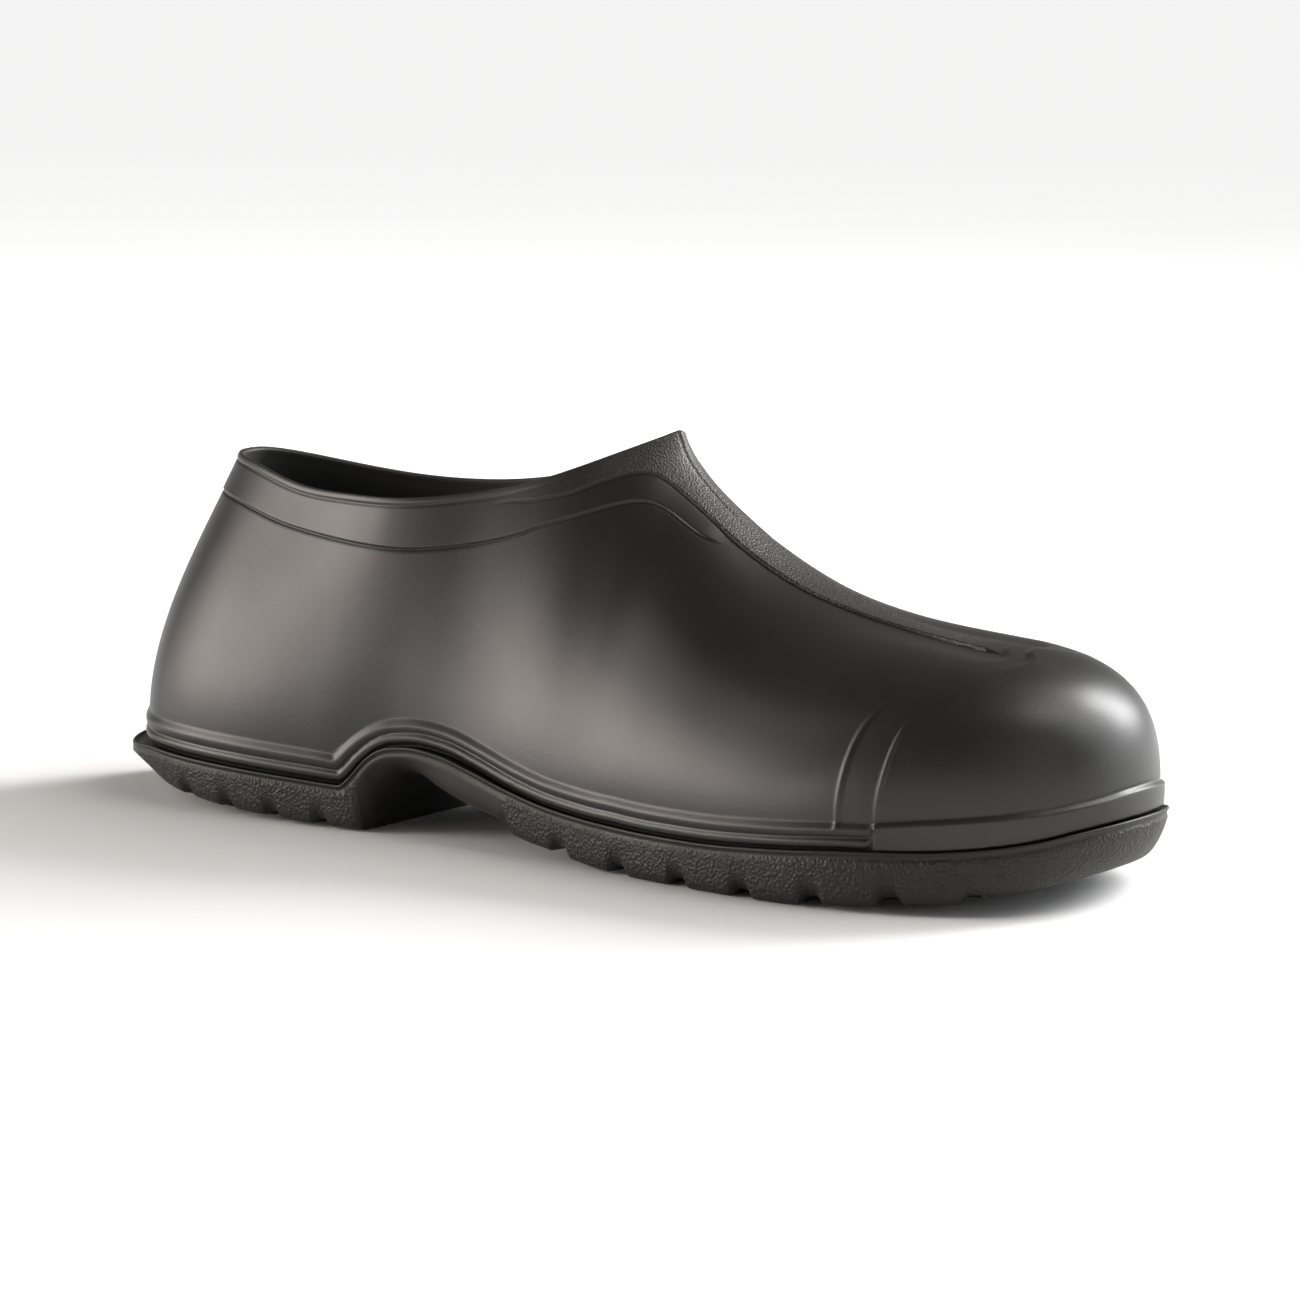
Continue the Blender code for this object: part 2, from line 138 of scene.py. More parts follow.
# ---- curves through the tables ------------------------------------------------------------------
def spline(rows, col):
    """Natural cubic spline of one column of a table over its first column."""
    xs = np.array([r[0] for r in rows], float)
    ys = np.array([r[col] for r in rows], float)
    n, h = len(xs), np.diff(xs)
    a, r = np.zeros((n, n)), np.zeros(n)
    a[0, 0] = a[-1, -1] = 1.0
    for i in range(1, n - 1):
        a[i, i - 1:i + 2] = h[i - 1], 2 * (h[i - 1] + h[i]), h[i]
        r[i] = 6 * ((ys[i + 1] - ys[i]) / h[i] - (ys[i] - ys[i - 1]) / h[i - 1])
    m = np.linalg.solve(a, r)

    def value(x):
        x = np.clip(np.asarray(x, float), xs[0], xs[-1])
        i = np.clip(np.searchsorted(xs, x, side="right") - 1, 0, n - 2)
        d, hi = x - xs[i], h[i]
        b = (ys[i + 1] - ys[i]) / hi - hi * (2 * m[i] + m[i + 1]) / 6
        return ys[i] + d * (b + d * (m[i] / 2 + d * (m[i + 1] - m[i]) / (6 * hi)))

    return value


def monotone(rows, col):
    """Monotone cubic of one column of a table: no swing between its rows."""
    xs = np.array([r[0] for r in rows], float)
    ys = np.array([r[col] for r in rows], float)
    h = np.diff(xs)
    s = np.diff(ys) / h
    d = np.zeros(len(xs))
    for i in range(1, len(xs) - 1):
        if s[i - 1] * s[i] > 0:
            w1, w2 = 2 * h[i] + h[i - 1], h[i] + 2 * h[i - 1]
            d[i] = (w1 + w2) / (w1 / s[i - 1] + w2 / s[i])
    d[0], d[-1] = s[0], s[-1]

    def value(x):
        x = np.clip(np.asarray(x, float), xs[0], xs[-1])
        i = np.clip(np.searchsorted(xs, x, side="right") - 1, 0, len(xs) - 2)
        t = (x - xs[i]) / h[i]
        return (ys[i] * (1 + 2 * t) * (1 - t) ** 2 + d[i] * h[i] * t * (1 - t) ** 2
                + ys[i + 1] * t * t * (3 - 2 * t) + d[i + 1] * h[i] * t * t * (t - 1))

    return value


def cornered(rows, col, corner):
    """Two monotone runs that meet in a sharp corner."""
    before, after = monotone([r for r in rows if r[0] <= corner], col), monotone([r for r in rows if r[0] >= corner], col)
    return lambda x: np.where(np.asarray(x, float) < corner, before(x), after(x))


def ease(a, b, x):
    t = np.clip((np.asarray(x, float) - a) / (b - a), 0, 1)
    return t * t * (3 - 2 * t)


def turn(share):
    return np.arccos(1 - 2 * np.clip(share, 0, 1))


def half_widths(rows, col, span, r_back, r_front):
    """Half width over the angle 0 to pi of an oval whose ends have the given radii."""
    g = [(0.0, np.sqrt(r_back * span / 2))]
    g += [(turn(r[0]), r[col] / np.sin(turn(r[0]))) for r in rows]
    g += [(np.pi, np.sqrt(r_front * span / 2))]
    f = spline(g, 1)
    return lambda t: np.sin(t) * f(t)


SPAN = COLLAR_PEAK - COLLAR_BACK
plan_half = {s: half_widths(PLAN, c, LENGTH, HEEL_RADIUS, TOE_RADIUS) for c, s in enumerate(SIDES, 1)}
collar_half = {s: half_widths(COLLAR, c, SPAN, COLLAR_BACK_R, COLLAR_PEAK_R) for c, s in enumerate(SIDES, 1)}
level = {s: monotone([r for r in SEAT if r[0] <= 95] + SEAT_LEVEL + [r for r in SEAT if r[0] >= 182], c) for c, s in enumerate(SIDES, 1)}
seat = {s: cornered(SEAT, c, CORNER) for c, s in enumerate(SIDES, 1)}
base, floor = monotone(BOTTOM, 1), monotone(BOTTOM, 2)
collar_z = {s: spline(COLLAR_Z, c) for c, s in enumerate(SIDES, 1)}
ridge_z = spline(RIDGE, 1)
wall_top, wall_lean, wall_toward = (monotone(WALLS, k) for k in (1, 4, 6))
wall_flare, wall_r0, wall_r1 = (spline(WALLS, k) for k in (2, 3, 5))
arch_top = monotone(ARCHES, 1)
arch_flare, arch_rise, arch_crown = (spline(ARCHES, k) for k in (2, 3, 4))
UP = np.array([0.0, 0.0, 1.0])


# ---- plan, seat, collar and ridge ---------------------------------------------------------------
def axis_y(x):
    return -TOE_SKEW * ease(0.40 * LENGTH, 1.08 * LENGTH, x)


def outline(t, side):
    """Outsole's edge in plan; t is 0 at the back of the heel and pi at the toe."""
    x = LENGTH * (1 - np.cos(t)) / 2
    return np.stack([x, axis_y(x) + side * plan_half[side](t)], -1)


def collar(t, side):
    x = COLLAR_BACK + SPAN * (1 - np.cos(t)) / 2
    return np.stack([x, axis_y(x) + side * collar_half[side](t), collar_z[side](x)], -1)


def ridge(x):
    return np.stack([np.asarray(x, float), axis_y(x), ridge_z(x)], -1)


def outward(curve, t, side, e=1e-3):
    """Outward normal in plan of an oval at the angle t."""
    d = curve(t + e, side)[:2] - curve(t - e, side)[:2]
    n = np.array([-d[1], d[0]]) * side
    return np.append(n / np.linalg.norm(n), 0)


def ledge(x):
    return (LEDGE_SIDE + (LEDGE_HEEL - LEDGE_SIDE) * (1 - ease(2, 26, x))
            + (LEDGE_TOE - LEDGE_SIDE) * ease(LENGTH - 60, LENGTH, x))


def inset(t, side, depth, z):
    p = np.append(outline(t, side), z)
    return p - outward(outline, t, side) * depth


def foot(t, side):
    """Lower edge of the upper."""
    x = outline(t, side)[0]
    return inset(t, side, ledge(x) + 1.7 * ease(86, 112, x) * (1 - ease(122, 166, x)), level[side](x))


# ---- columns of the upper, from its foot to the collar or to the ridge --------------------------
def bezier(c, s):
    s = np.asarray(s)[:, None]
    return c[0] * (1 - s) ** 3 + 3 * c[1] * s * (1 - s) ** 2 + 3 * c[2] * s * s * (1 - s) + c[3] * s ** 3


def lengths(pts):
    return np.r_[0, np.cumsum(np.linalg.norm(np.diff(pts, axis=0), axis=1))]


def resample(pts, want):
    d = lengths(pts)
    return np.stack([np.interp(want, d, pts[:, k]) for k in range(3)], -1)


def wall_column(t, side):
    p = t / np.pi
    f, a = foot(t, side), np.pi * float(wall_top(p))
    q, w = collar(a, side), float(wall_toward(p))
    inward = (1 - w) * np.array([0.0, -side, 0.0]) - w * outward(collar, a, side)
    inward = inward / np.linalg.norm(inward)
    flare, lean = np.radians(wall_flare(p)), np.radians(wall_lean(p))
    d0 = outward(outline, t, side) * np.sin(flare) + UP * np.cos(flare)
    d1 = inward * np.sin(lean) + UP * np.cos(lean)
    return np.array([f, f + d0 * np.linalg.norm(q - f) * wall_r0(p), q - d1 * wall_r1(p), q])


def arch_column(t, side):
    f, x = foot(t, side), outline(t, side)[0]
    top = float(arch_top(x))
    q, back = ridge(top), ridge(top - 0.5) - ridge(top + 0.5)
    fan = np.pi / 2 * max(0.0, (t - turn(FAN_X / LENGTH)) / (np.pi - turn(FAN_X / LENGTH)))
    d1 = np.cos(fan) * np.array([0.0, -side, 0.0]) + np.sin(fan) * back / np.linalg.norm(back)
    flare = np.radians(arch_flare(x))
    d0 = outward(outline, t, side) * np.sin(flare) + UP * np.cos(flare)
    return np.array([f, f + d0 * arch_rise(x), q - d1 * arch_crown(x), q])


def column(t, side, n=161):
    """Evenly spaced points of one column of the outer form."""
    x = outline(t, side)[0]
    w = float(ease(*BLEND, x))
    wall = arch = np.zeros((n, 3))
    if w < 1:
        wall = bezier(wall_column(t, side), np.linspace(0, 1, 4 * n))
        wall = resample(wall, np.linspace(0, lengths(wall)[-1], n))
    if w > 0:
        arch = bezier(arch_column(t, side), np.linspace(0, 1, 8 * n))
        over = arch[:, 2] - collar_z[side](arch[:, 0])
        if arch_top(x) < COLLAR_PEAK and over[-1] > 0:   # cut the last's form at the collar
            k = int(np.argmax(over > 0))
            s = over[k - 1] / (over[k - 1] - over[k])
            arch = np.vstack([arch[:k], arch[k - 1] + s * (arch[k] - arch[k - 1])])
        arch = resample(arch, np.linspace(0, lengths(arch)[-1], n))
    return (1 - w) * wall + w * arch


# ---- detail tables ------------------------------------------------------------------------------
RIBS = [  # x of the foot; lower rib's centre above the seat; half width; upper rib's centre; half width
    (0, 2.6, 1.45, 6.2, 1.9),
    (85, 2.6, 1.45, 6.2, 1.9),
    (106, 2.4, 1.40, 5.5, 1.65),
    (200, 2.3, 1.40, 5.4, 1.65),
    (266, 2.2, 1.35, 5.2, 1.60),
]
BAND = [  # x of the foot; edge of the collar band below the collar
    (0, 11.0), (30, 11.0), (57, 10.9), (87, 12.2), (114, 13.2), (133, 13.3), (148, 13.1),
]
BAND_RISE = [  # x of the foot; edge of the collar band above the foot
    (148, 66.8), (155, 71.4), (162, 76.1), (168, 80.2), (173, 83.4), (178, 85.6), (183, 85.6), (189, 83.7), (193, 82.8),
    (196, 82.7), (200, 83.6),
]
STRIP = [  # x of the foot; edge of the raised strip below the collar
    (0, 4.6), (110, 4.2), (128, 3.5), (138, 3.5), (149, 5.6),
]
STRIP_RISE = [  # x of the foot; edge of the raised strip above the foot
    (149, 75.0), (158, 80.3), (163, 84.4), (169, 89.2), (173, 92.0), (177, 93.3), (181, 92.9), (185, 91.6), (190, 89.9),
    (198, 87.1), (205, 84.8), (214, 82.8), (225, 80.9), (235, 79.6), (244, 78.8), (252, 77.5), (260, 75.2), (270, 71.8),
    (281, 67.0), (304, 59.6), (316, 57.0),
]
STRIP_HALF = [  # x; half width of the strip in plan
    (196, 7.9), (202, 7.5), (211, 6.8), (222, 6.3), (233, 5.7), (243, 4.8), (253, 4.3), (264, 4.8), (273, 6.2), (279, 7.0), (290, 8.0),
]
HOLLOW_INNER = [  # distance from the middle of the toe; x where the inner step of the hollow beside the strip ends
    (0, 276.0), (2, 276.3), (5, 277.9), (8, 279.8), (11, 280.2), (14, 279.0), (19, 275.0), (26, 266.0), (60, 215.0),
]
HOLLOW_OUTER = [  # the same for the outer step
    (0, 282.4), (2, 282.8), (4, 284.0), (7, 286.1), (10, 286.9), (15.5, 286.0), (22, 282.5), (28, 277.0), (36, 265.0), (60, 225.0),
]
CAP_LINES = [  # for each of the two raised lines beside the toe: height above the foot; x of the foot
    [(5.6, 257.0), (12.5, 257.0), (19.0, 257.3), (27.0, 258.1), (32.0, 259.0), (35.3, 260.1), (39.5, 262.0), (47.0, 267.0)],
    [(5.6, 267.0), (12.0, 267.0), (18.8, 267.6), (23.6, 268.2), (29.3, 269.3), (32.9, 271.0), (35.7, 274.0), (43.0, 283.0)],
]
CAP_FADE = [(31.0, 40.5), (26.0, 36.0)]
RAND = [(266.0, 6.9), (280, 7.8), (289, 7.9), (299, 7.6), (308, 6.8), (313, 6.7), (316, 7.2)]   # x; height of the toe rand
EDGE = [  # x; how far inside the lip the side meets the bottom; rise of the bottom there
    (0, 11.0, 0.6), (8, 10.4, 0.8), (16, 8.0, 1.2), (24, 6.0, 1.8), (32, 4.6, 2.1), (40, 4.0, 2.1), (50, 3.6, 1.8), (60, 3.4, 1.5),
    (70, 3.2, 1.1), (80, 3.0, 0.6), (98.5, 2.8, 0.3), (102, 6.0, 0.0), (105, 10.0, 0.0), (110, 10.5, 0.0), (115, 8.5, 0.0),
    (120, 5.5, 0.0), (126, 3.2, 0.0), (132, 2.4, 0.0), (290, 2.4, 0.0), (300, 3.4, 0.0), (308, 6.2, 0.0), (316, 8.6, 0.0),
]
UNDER = [(0, 10.6), (8, 8.2), (16, 6.2), (24, 4.8), (32, 3.8), (40, 3.05), (50, 2.5)] + [r[:2] for r in BOTTOM if r[0] >= 60]
HEEL_PAD = 35.5       # in front of it lies the heel's tread
BREAST = 100.9        # front edge of the heel
FIELDS = [  # first bar's centre; pitch; count
    (40.35, 9.3, 7),
    (155.75, 9.7, 14),
]
TOOTH, SPINE = 2.75, 1.25   # width of a bar's teeth; half width of the bar between them
MARKS = [  # plain moulded frames under the waist: x; y; half length; half width; corner radius; half width of the bead
    (126.5, 5.0, 4.5, 20.0, 0.8, 0.5),
    (141.5, 36.0, 5.2, 5.2, 5.2, 0.5),
    (138.5, -21.0, 7.2, 7.2, 7.2, 0.45),
    (138.5, -21.0, 3.4, 3.4, 3.4, 0.45),
]
DIAL = (138.5, -21.0, 4.5, 6.1, 12, 0.4)   # x; y; inner and outer end of the ticks; number; half width
ORIGIN = np.array([LENGTH / 2, (outline(np.linspace(0, np.pi, 721), -1)[:, 1].min()
                                + outline(np.linspace(0, np.pi, 721), 1)[:, 1].max()) / 2, 0.0])


# ---- mesh helpers -------------------------------------------------------------------------------
def quads(idx):
    """Faces between neighbouring columns of an index grid, with repeated corners dropped."""
    f = np.stack([idx[:-1, :-1], idx[1:, :-1], idx[1:, 1:], idx[:-1, 1:]], -1).reshape(-1, 4)
    return tidy(f)


def tidy(f):
    same = ((f[:, 0] == f[:, 1]) | (f[:, 1] == f[:, 2]) | (f[:, 2] == f[:, 3]) | (f[:, 3] == f[:, 0]))
    out = f[~same].tolist()
    for q in f[same].tolist():
        ring = list(dict.fromkeys(q))
        if len(ring) > 2:
            out.append(ring)
    return out


def vertex_normals(v, faces):
    q = np.array([f if len(f) == 4 else f + f[-1:] for f in faces])
    n = np.cross(v[q[:, 2]] - v[q[:, 0]], v[q[:, 3]] - v[q[:, 1]])
    out = np.zeros_like(v)
    for k in range(4):
        for axis in range(3):
            out[:, axis] += np.bincount(q[:, k], n[:, axis], len(v))
    return out / np.maximum(np.linalg.norm(out, axis=1, keepdims=True), 1e-12)


def mesh_object(name, verts, faces, material, layers=None):
    mesh = bpy.data.meshes.new(name)
    mesh.from_pydata(((np.asarray(verts) - ORIGIN) * 0.001).tolist(), [], faces)
    mesh.shade_smooth()
    for key, values in (layers or {}).items():
        mesh.attributes.new(key, "FLOAT", "POINT").data.foreach_set("value", np.asarray(values, np.float32))
    mesh.materials.append(material)
    ob = bpy.data.objects.new(name, mesh)
    bpy.context.scene.collection.objects.link(ob)
    return ob


def spans(*parts):
    """Stations through (from, to, how many) runs that follow on from each other."""
    return np.concatenate([np.linspace(a, b, n + 1)[(1 if k else 0):] for k, (a, b, n) in enumerate(parts)])


def by_angle(a, b, n):
    return LENGTH * (1 - np.cos(np.linspace(turn(a / LENGTH), turn(b / LENGTH), n + 1))) / 2


def around(stations):
    """Columns right round the shoe: heel, medial side, toe, lateral side."""
    last = len(stations) - 1
    return [(i, stations[i], -1) for i in range(last + 1)] + [(i, stations[i], 1) for i in range(last - 1, 0, -1)]


def to_line(p, line):
    """Distance of points from a line of short straight pieces."""
    best = np.full(len(p), 1e9)
    for a, b in zip(line[:-1], line[1:]):
        d = b - a
        s = np.clip((p - a) @ d / (d @ d), 0, 1)
        best = np.minimum(best, np.linalg.norm(p - a - s[:, None] * d, axis=1))
    return best


def dome(d, centre, half):
    return np.sqrt(np.clip(1 - ((d - centre) / half) ** 2, 0, 1))


def bell(d, half):
    return np.where(np.abs(d) < half, np.cos(np.pi / 2 * np.clip(d / half, -1, 1)) ** 2, 0.0)


# ---- upper --------------------------------------------------------------------------------------
FOOT_ROWS = np.linspace(0, 12.4, 32)
LINE_ROWS = np.array([-1.6, -1.0, -0.65, -0.4, -0.2, 0.0, 0.2, 0.4, 0.65, 1.0, 1.6])
RIM_ROWS = np.array([2.8, 2.3, 1.95, 1.65, 1.35, 1.05, 0.75, 0.5, 0.25, 0.0])
MID = 64


def row_heights(total, strip, band):
    between = np.clip((band - strip) / 4.4, 0.2, 1)
    above = np.clip((strip - 2.8) / 2.2, 0.2, 1)
    b = total - band + LINE_ROWS * np.where(LINE_ROWS > 0, between, 1)
    a = total - strip + LINE_ROWS * np.where(LINE_ROWS > 0, above, between)
    r = total - RIM_ROWS
    return np.concatenate([FOOT_ROWS, np.linspace(FOOT_ROWS[-1], b[0], MID + 1)[1:-1], b,
                           np.linspace(b[-1], a[0], 6)[1:-1], a, np.linspace(a[-1], r[0], 12)[1:-1], r])


BAND_ROW = len(FOOT_ROWS) + MID - 1 + 5
STRIP_ROW = BAND_ROW + 6 + 4 + 5


def panel_edges(x, total):
    """How far below the top of a medial column the strip's and the band's edges lie."""
    strip = float(monotone(STRIP, 1)(x)) if x < 149 else total - float(spline(STRIP_RISE, 1)(x))
    band = float(monotone(BAND, 1)(x)) if x < 148 else total - float(spline(BAND_RISE, 1)(x))
    return strip, max(band, strip + 2.0)


def unrolled_distance(xs, sides, rows):
    """Distance from the seat's edge, measured on the unrolled wall, so that ribs keep their width round its corner."""
    out = np.zeros((len(xs), len(rows)))
    fine = np.linspace(0, LENGTH, 6001)
    for side in SIDES:
        edge = outline(turn(fine / LENGTH), side)
        run = np.r_[0, np.cumsum(np.linalg.norm(np.diff(edge, axis=0), axis=1))]
        z = seat[side](fine)
        for c in np.where(sides == side)[0]:
            s = np.interp(xs[c], fine, run)
            k = np.abs(run - s) < 16
            d = np.hypot(run[k] - s, z[k] - (float(seat[side](xs[c])) + rows)[:, None])
            out[c] = d.min(1)
    return out


def seat_height(pts, x, side):
    """Length along a column up to the seat's edge."""
    z, d = pts[:200, 2], lengths(pts)[:200]
    return float(np.interp(float(seat[side](x)), z, d))


def cap_line(rows, side):
    foot_x = spline(rows, 1)
    pts = []
    for u in np.linspace(rows[0][0], rows[-1][0], 70):
        col = column(float(turn(foot_x(u) / LENGTH)), side, 401)
        pts.append(resample(col, [u])[0])
    return np.array(pts)


def build_upper(material):
    stations = np.concatenate([by_angle(0, 86, 50)[:-1], spans(
        (86, 95, 14), (95, 112, 28), (112, 148, 20), (148, 176, 27), (176, 204, 27), (204, 252, 28), (252, 270, 36),
        (270, 280, 14)), by_angle(280, LENGTH, 34)[1:]])
    cols = around(stations)
    n = len(stations) - 1
    xs, sides = np.array([c[1] for c in cols]), np.array([c[2] for c in cols])
    edges, grid, height, total = {}, [], [], []
    for i, x, side in cols:
        pts = column(float(turn(x / LENGTH)), side, 801)
        pts = resample(pts, np.linspace(seat_height(pts, x, side), lengths(pts)[-1], 801))
        full = lengths(pts)[-1]
        if side < 0:
            edges[i] = panel_edges(x, full)
        rows = row_heights(full, *edges[i])
        grid.append(resample(pts, rows))
        height.append(rows)
        total.append(full)
    p, up, total = np.array(grid), np.array(height), np.array(total)
    # the collar's peak turns up into a small beak
    beak = np.clip((p[..., 2] - 97.0) / 8.0, 0, 1) ** 2 * ease(150, 170, p[..., 0])
    p = p + beak[..., None] * (1.8, 0.0, 0.8)
    count, rows = p.shape[:2]
    pebble_painted_highlight = np.array([arch_top(x) if x > BLEND[0] else 0.0 for x in xs])
    idx = np.arange(count * rows).reshape(count, rows)
    for c, (i, x, side) in enumerate(cols):
        if x >= FAN_X:
            idx[c, -1] = idx[int(np.argmax(xs >= FAN_X)), -1]
        elif pebble_painted_highlight[c] >= COLLAR_PEAK - 1e-6:
            idx[c, -1] = idx[i, -1]
    keep = np.unique(idx)
    renumber = np.zeros(count * rows, int)
    renumber[keep] = np.arange(len(keep))
    idx = renumber[idx]
    base_v = p.reshape(-1, 3)[keep]
    ring = np.vstack([idx, idx[:1]])
    outer = quads(ring)
    normal = vertex_normals(base_v, outer)

    # relief, as a height over the form at every point of the grid
    x_foot = xs[:, None] + 0 * up
    px, py, below = p[..., 0], p[..., 1], total[:, None] - up
    middle = np.abs(py - axis_y(px))
    h = np.zeros_like(up)

    def edge_distance(row):
        line = p[:, row]
        along = np.roll(line, -1, 0) - np.roll(line, 1, 0)
        along /= np.maximum(np.linalg.norm(along, axis=1, keepdims=True), 1e-9)
        across = p[:, row + 1] - p[:, row - 1]
        across /= np.linalg.norm(across, axis=1, keepdims=True)
        lean = np.clip(np.linalg.norm(np.cross(across, along), axis=1), 0.3, 1)
        return (up - up[:, [row]]) * lean[:, None]

    band, strip = edge_distance(BAND_ROW), edge_distance(STRIP_ROW)
    # in front of the instep the strip's edge is measured in plan from the middle
    plan = ease(200, 216, px)
    strip = (1 - plan) * strip + plan * (spline(STRIP_HALF, 1)(px) - middle)
    # collar band: stands proud of the quarter, with a dark line at its lower edge
    amount = 1 - ease(193, 199.5, x_foot)
    band_edge = amount * (0.36 * ease(-0.2, 0.45, band) - 0.36 * bell(band + 0.3, 0.6))
    # strip over the instep
    amount = ease(134, 152, x_foot) * (1 - ease(270, 281, px))
    strip_in = ease(-0.2, 0.4, strip)
    h += band_edge + amount * strip_in * (0.80 - band_edge) - amount * 0.30 * bell(strip + 0.25, 0.5)
    # soft hollows beside the strip that end in two steps in front of the toe's dome
    beside = np.maximum(-strip, 0)
    reach = ease(222, 266, px) * (x_foot > 200)
    for depth, spread, step, rows_ in ((0.80, 14.0, 0.7, HOLLOW_INNER), (0.95, 20.0, 1.1, HOLLOW_OUTER)):
        end = spline(rows_, 1)(middle)
        soft = step + 0.22 * beside
        h -= depth * reach * (1 - ease(1, spread, beside)) * (1 - ease(-1, 1, (px - end) / soft))
    # parting line down the middle of the instep and behind the heel
    h += (0.25 * bell(middle - 0.1, 0.5) - 0.15 * bell(middle - 0.9, 0.45)) * (px > 172.5) * (1 - ease(186, 206, px))
    h += 0.16 * bell(py, 0.5) * (px < 60) * (up > 13) * (x_foot < 20)
    # ribs round the foot
    d = np.array(up)
    low = len(FOOT_ROWS)
    d[:, :low] = unrolled_distance(xs, sides, FOOT_ROWS)
    c1, w1, c2, w2 = (monotone(RIBS, k)(x_foot) for k in (1, 2, 3, 4))
    rib = 1.05 * dome(d, c1, w1)
    t = np.clip((d - c2) / (1.35 * w2), 0, 1)
    rib = np.maximum(rib, np.where(d < c2, 0.9 * dome(d, c2, w2), 0.9 * (1 - t * t) ** 2))
    rib -= 0.25 * (d < c1 - w1)
    ends = 1 - ease(264.6, 265.6, x_foot)
    h += rib * ends
    # rand round the toe
    top = monotone(RAND, 1)(x_foot)
    s = np.clip((top - d) / 0.9, 0, 1)
    rand = 1.15 * np.sqrt(1 - (1 - s) ** 2) * ease(0.15, 0.7, d) - 0.2 * (1 - ease(0.1, 0.5, d))
    rand -= 0.25 * bell(d - top - 0.35, 0.5)
    h += rand * ease(265.9, 266.7, x_foot)
    # the two raised lines beside the toe
    near = (x_foot > 246) & (x_foot < 292) & (up > 4) & (up < 50)
    for rows_, (fade, gone) in zip(CAP_LINES, CAP_FADE):
        for side in SIDES:
            m = near & (sides[:, None] == side)
            dist = to_line(p[m], cap_line(rows_, side))
            h[m] += 0.45 * bell(dist, 1.05) * (1 - ease(fade, gone, up[m])) * ease(4.8, 6.4, up[m])
    # rolled edge of the collar
    open_top = (pebble_painted_highlight < COLLAR_PEAK + 0.5)[:, None] * (1 - ease(174, 176.5, x_foot))
    lip = 1 - 0.75 * ease(118, 150, x_foot)
    h += open_top * lip * (0.30 * dome(below, 0.6, 0.95) - 0.24 * bell(below - 1.85, 0.5))

    flat = h.reshape(-1)[keep]
    outer_v = base_v + normal * flat[:, None]
    inside_rows = np.unique(np.r_[0, 9, 18, low - 1, np.arange(low + 3, low + MID, 5), BAND_ROW, STRIP_ROW, rows - 10, rows - 4, rows - 1])
    thick = (WALL * (0.5 + 0.5 * ease(0, 8, below) * open_top + 0.5 * (1 - open_top))).reshape(-1)[keep]
    inner_v = base_v - normal * thick[:, None]
    inner_idx = idx[:, inside_rows]
    used = np.unique(inner_idx)
    second = np.zeros(len(base_v), int)
    second[used] = len(base_v) + np.arange(len(used))
    inner_idx = second[inner_idx]
    verts = [outer_v, inner_v[used]]
    inner_ring = np.vstack([inner_idx, inner_idx[:1]])
    faces = outer + [f[::-1] for f in quads(inner_ring)]
    # foot: outer to inner
    faces += tidy(np.stack([ring[1:, 0], ring[:-1, 0], inner_ring[:-1, 0], inner_ring[1:, 0]], -1))
    # rolled rim
    peak = int(np.argmax(pebble_painted_highlight[:n + 1] >= COLLAR_PEAK - 1e-6))
    loop = np.r_[np.arange(peak + 1), np.arange(2 * n - peak + 1, 2 * n)]
    o, i_, nn = idx[loop, -1], inner_idx[loop, -1], normal[idx[loop, -1]]
    po, pi = outer_v[o], inner_v[idx[loop, -1]]
    edge = np.roll(po, -1, 0) - np.roll(po, 1, 0)
    edge /= np.linalg.norm(edge, axis=1, keepdims=True)
    rise = np.cross(edge, nn)
    rise /= np.linalg.norm(rise, axis=1, keepdims=True)
    if rise[0, 2] < 0:
        rise = -rise
    start = len(base_v) + len(used)
    strips = [o]
    for k, angle in enumerate(np.radians([30, 60, 90, 120, 150])):
        half = (po - pi) / 2
        size = np.linalg.norm(half, axis=1, keepdims=True)
        verts.append((po + pi) / 2 + half * np.cos(angle) + rise * size * 0.45 * np.sin(angle))
        strips.append(start + k * len(loop) + np.arange(len(loop)))
    strips.append(i_)
    rim = np.array(strips).T
    faces += quads(np.vstack([rim, rim[:1]]))
    verts = np.vstack(verts)
    extra = len(verts) - len(base_v)
    grain = (strip_in * ease(150, 166, px) * (1 - ease(262, 276, px))).reshape(-1)[keep]
    raised = np.clip(flat / 1.1, 0, 1)
    layers = {
        "grain": np.r_[grain, np.zeros(extra)],
        "inside": np.r_[np.zeros(len(base_v)), np.ones(len(used)), np.repeat([0.0, 0.0, 0.2, 0.6, 0.9], len(loop))],
        "raised": np.r_[raised, np.zeros(extra)],
    }
    return mesh_object("upper_shell", verts, faces, material, layers)


# ---- outsole ------------------------------------------------------------------------------------
under, bevel, edge_rise = monotone(UNDER, 1), monotone(EDGE, 1), monotone(EDGE, 2)


def lug_edges():
    rows = [(-10.0, 37.0)]
    for first, pitch, number, size in LUGS:
        rows += [(first + pitch * i - size / 2 - 0.7, first + pitch * i + size / 2 + 0.7) for i in range(number)]
    rows[4], rows[-1] = (rows[4][0], BREAST), (rows[-1][0], 287.4)
    return rows


def lug_share(x):
    """One on a lug of the sole's edge, nought between lugs; the heel's front ends more sharply."""
    best = 0.0
    for a, b in lug_edges():
        end = 0.5 if b == BREAST else 1.4
        best = max(best, float(ease(a - 1.4, a + 1.4, x) - ease(b - end, b + end, x)))
    return best


def field_level(x):
    """Bottom between the tread's bars, the heel's pad and the thin lip along the heel's front."""
    lip = ease(BREAST - 1.2, BREAST - 0.9, x) * (1 - ease(BREAST - 0.2, BREAST + 0.6, x))
    return under(x) - TREAD * (1 - ease(HEEL_PAD - 0.4, HEEL_PAD + 0.4, x) + lip)


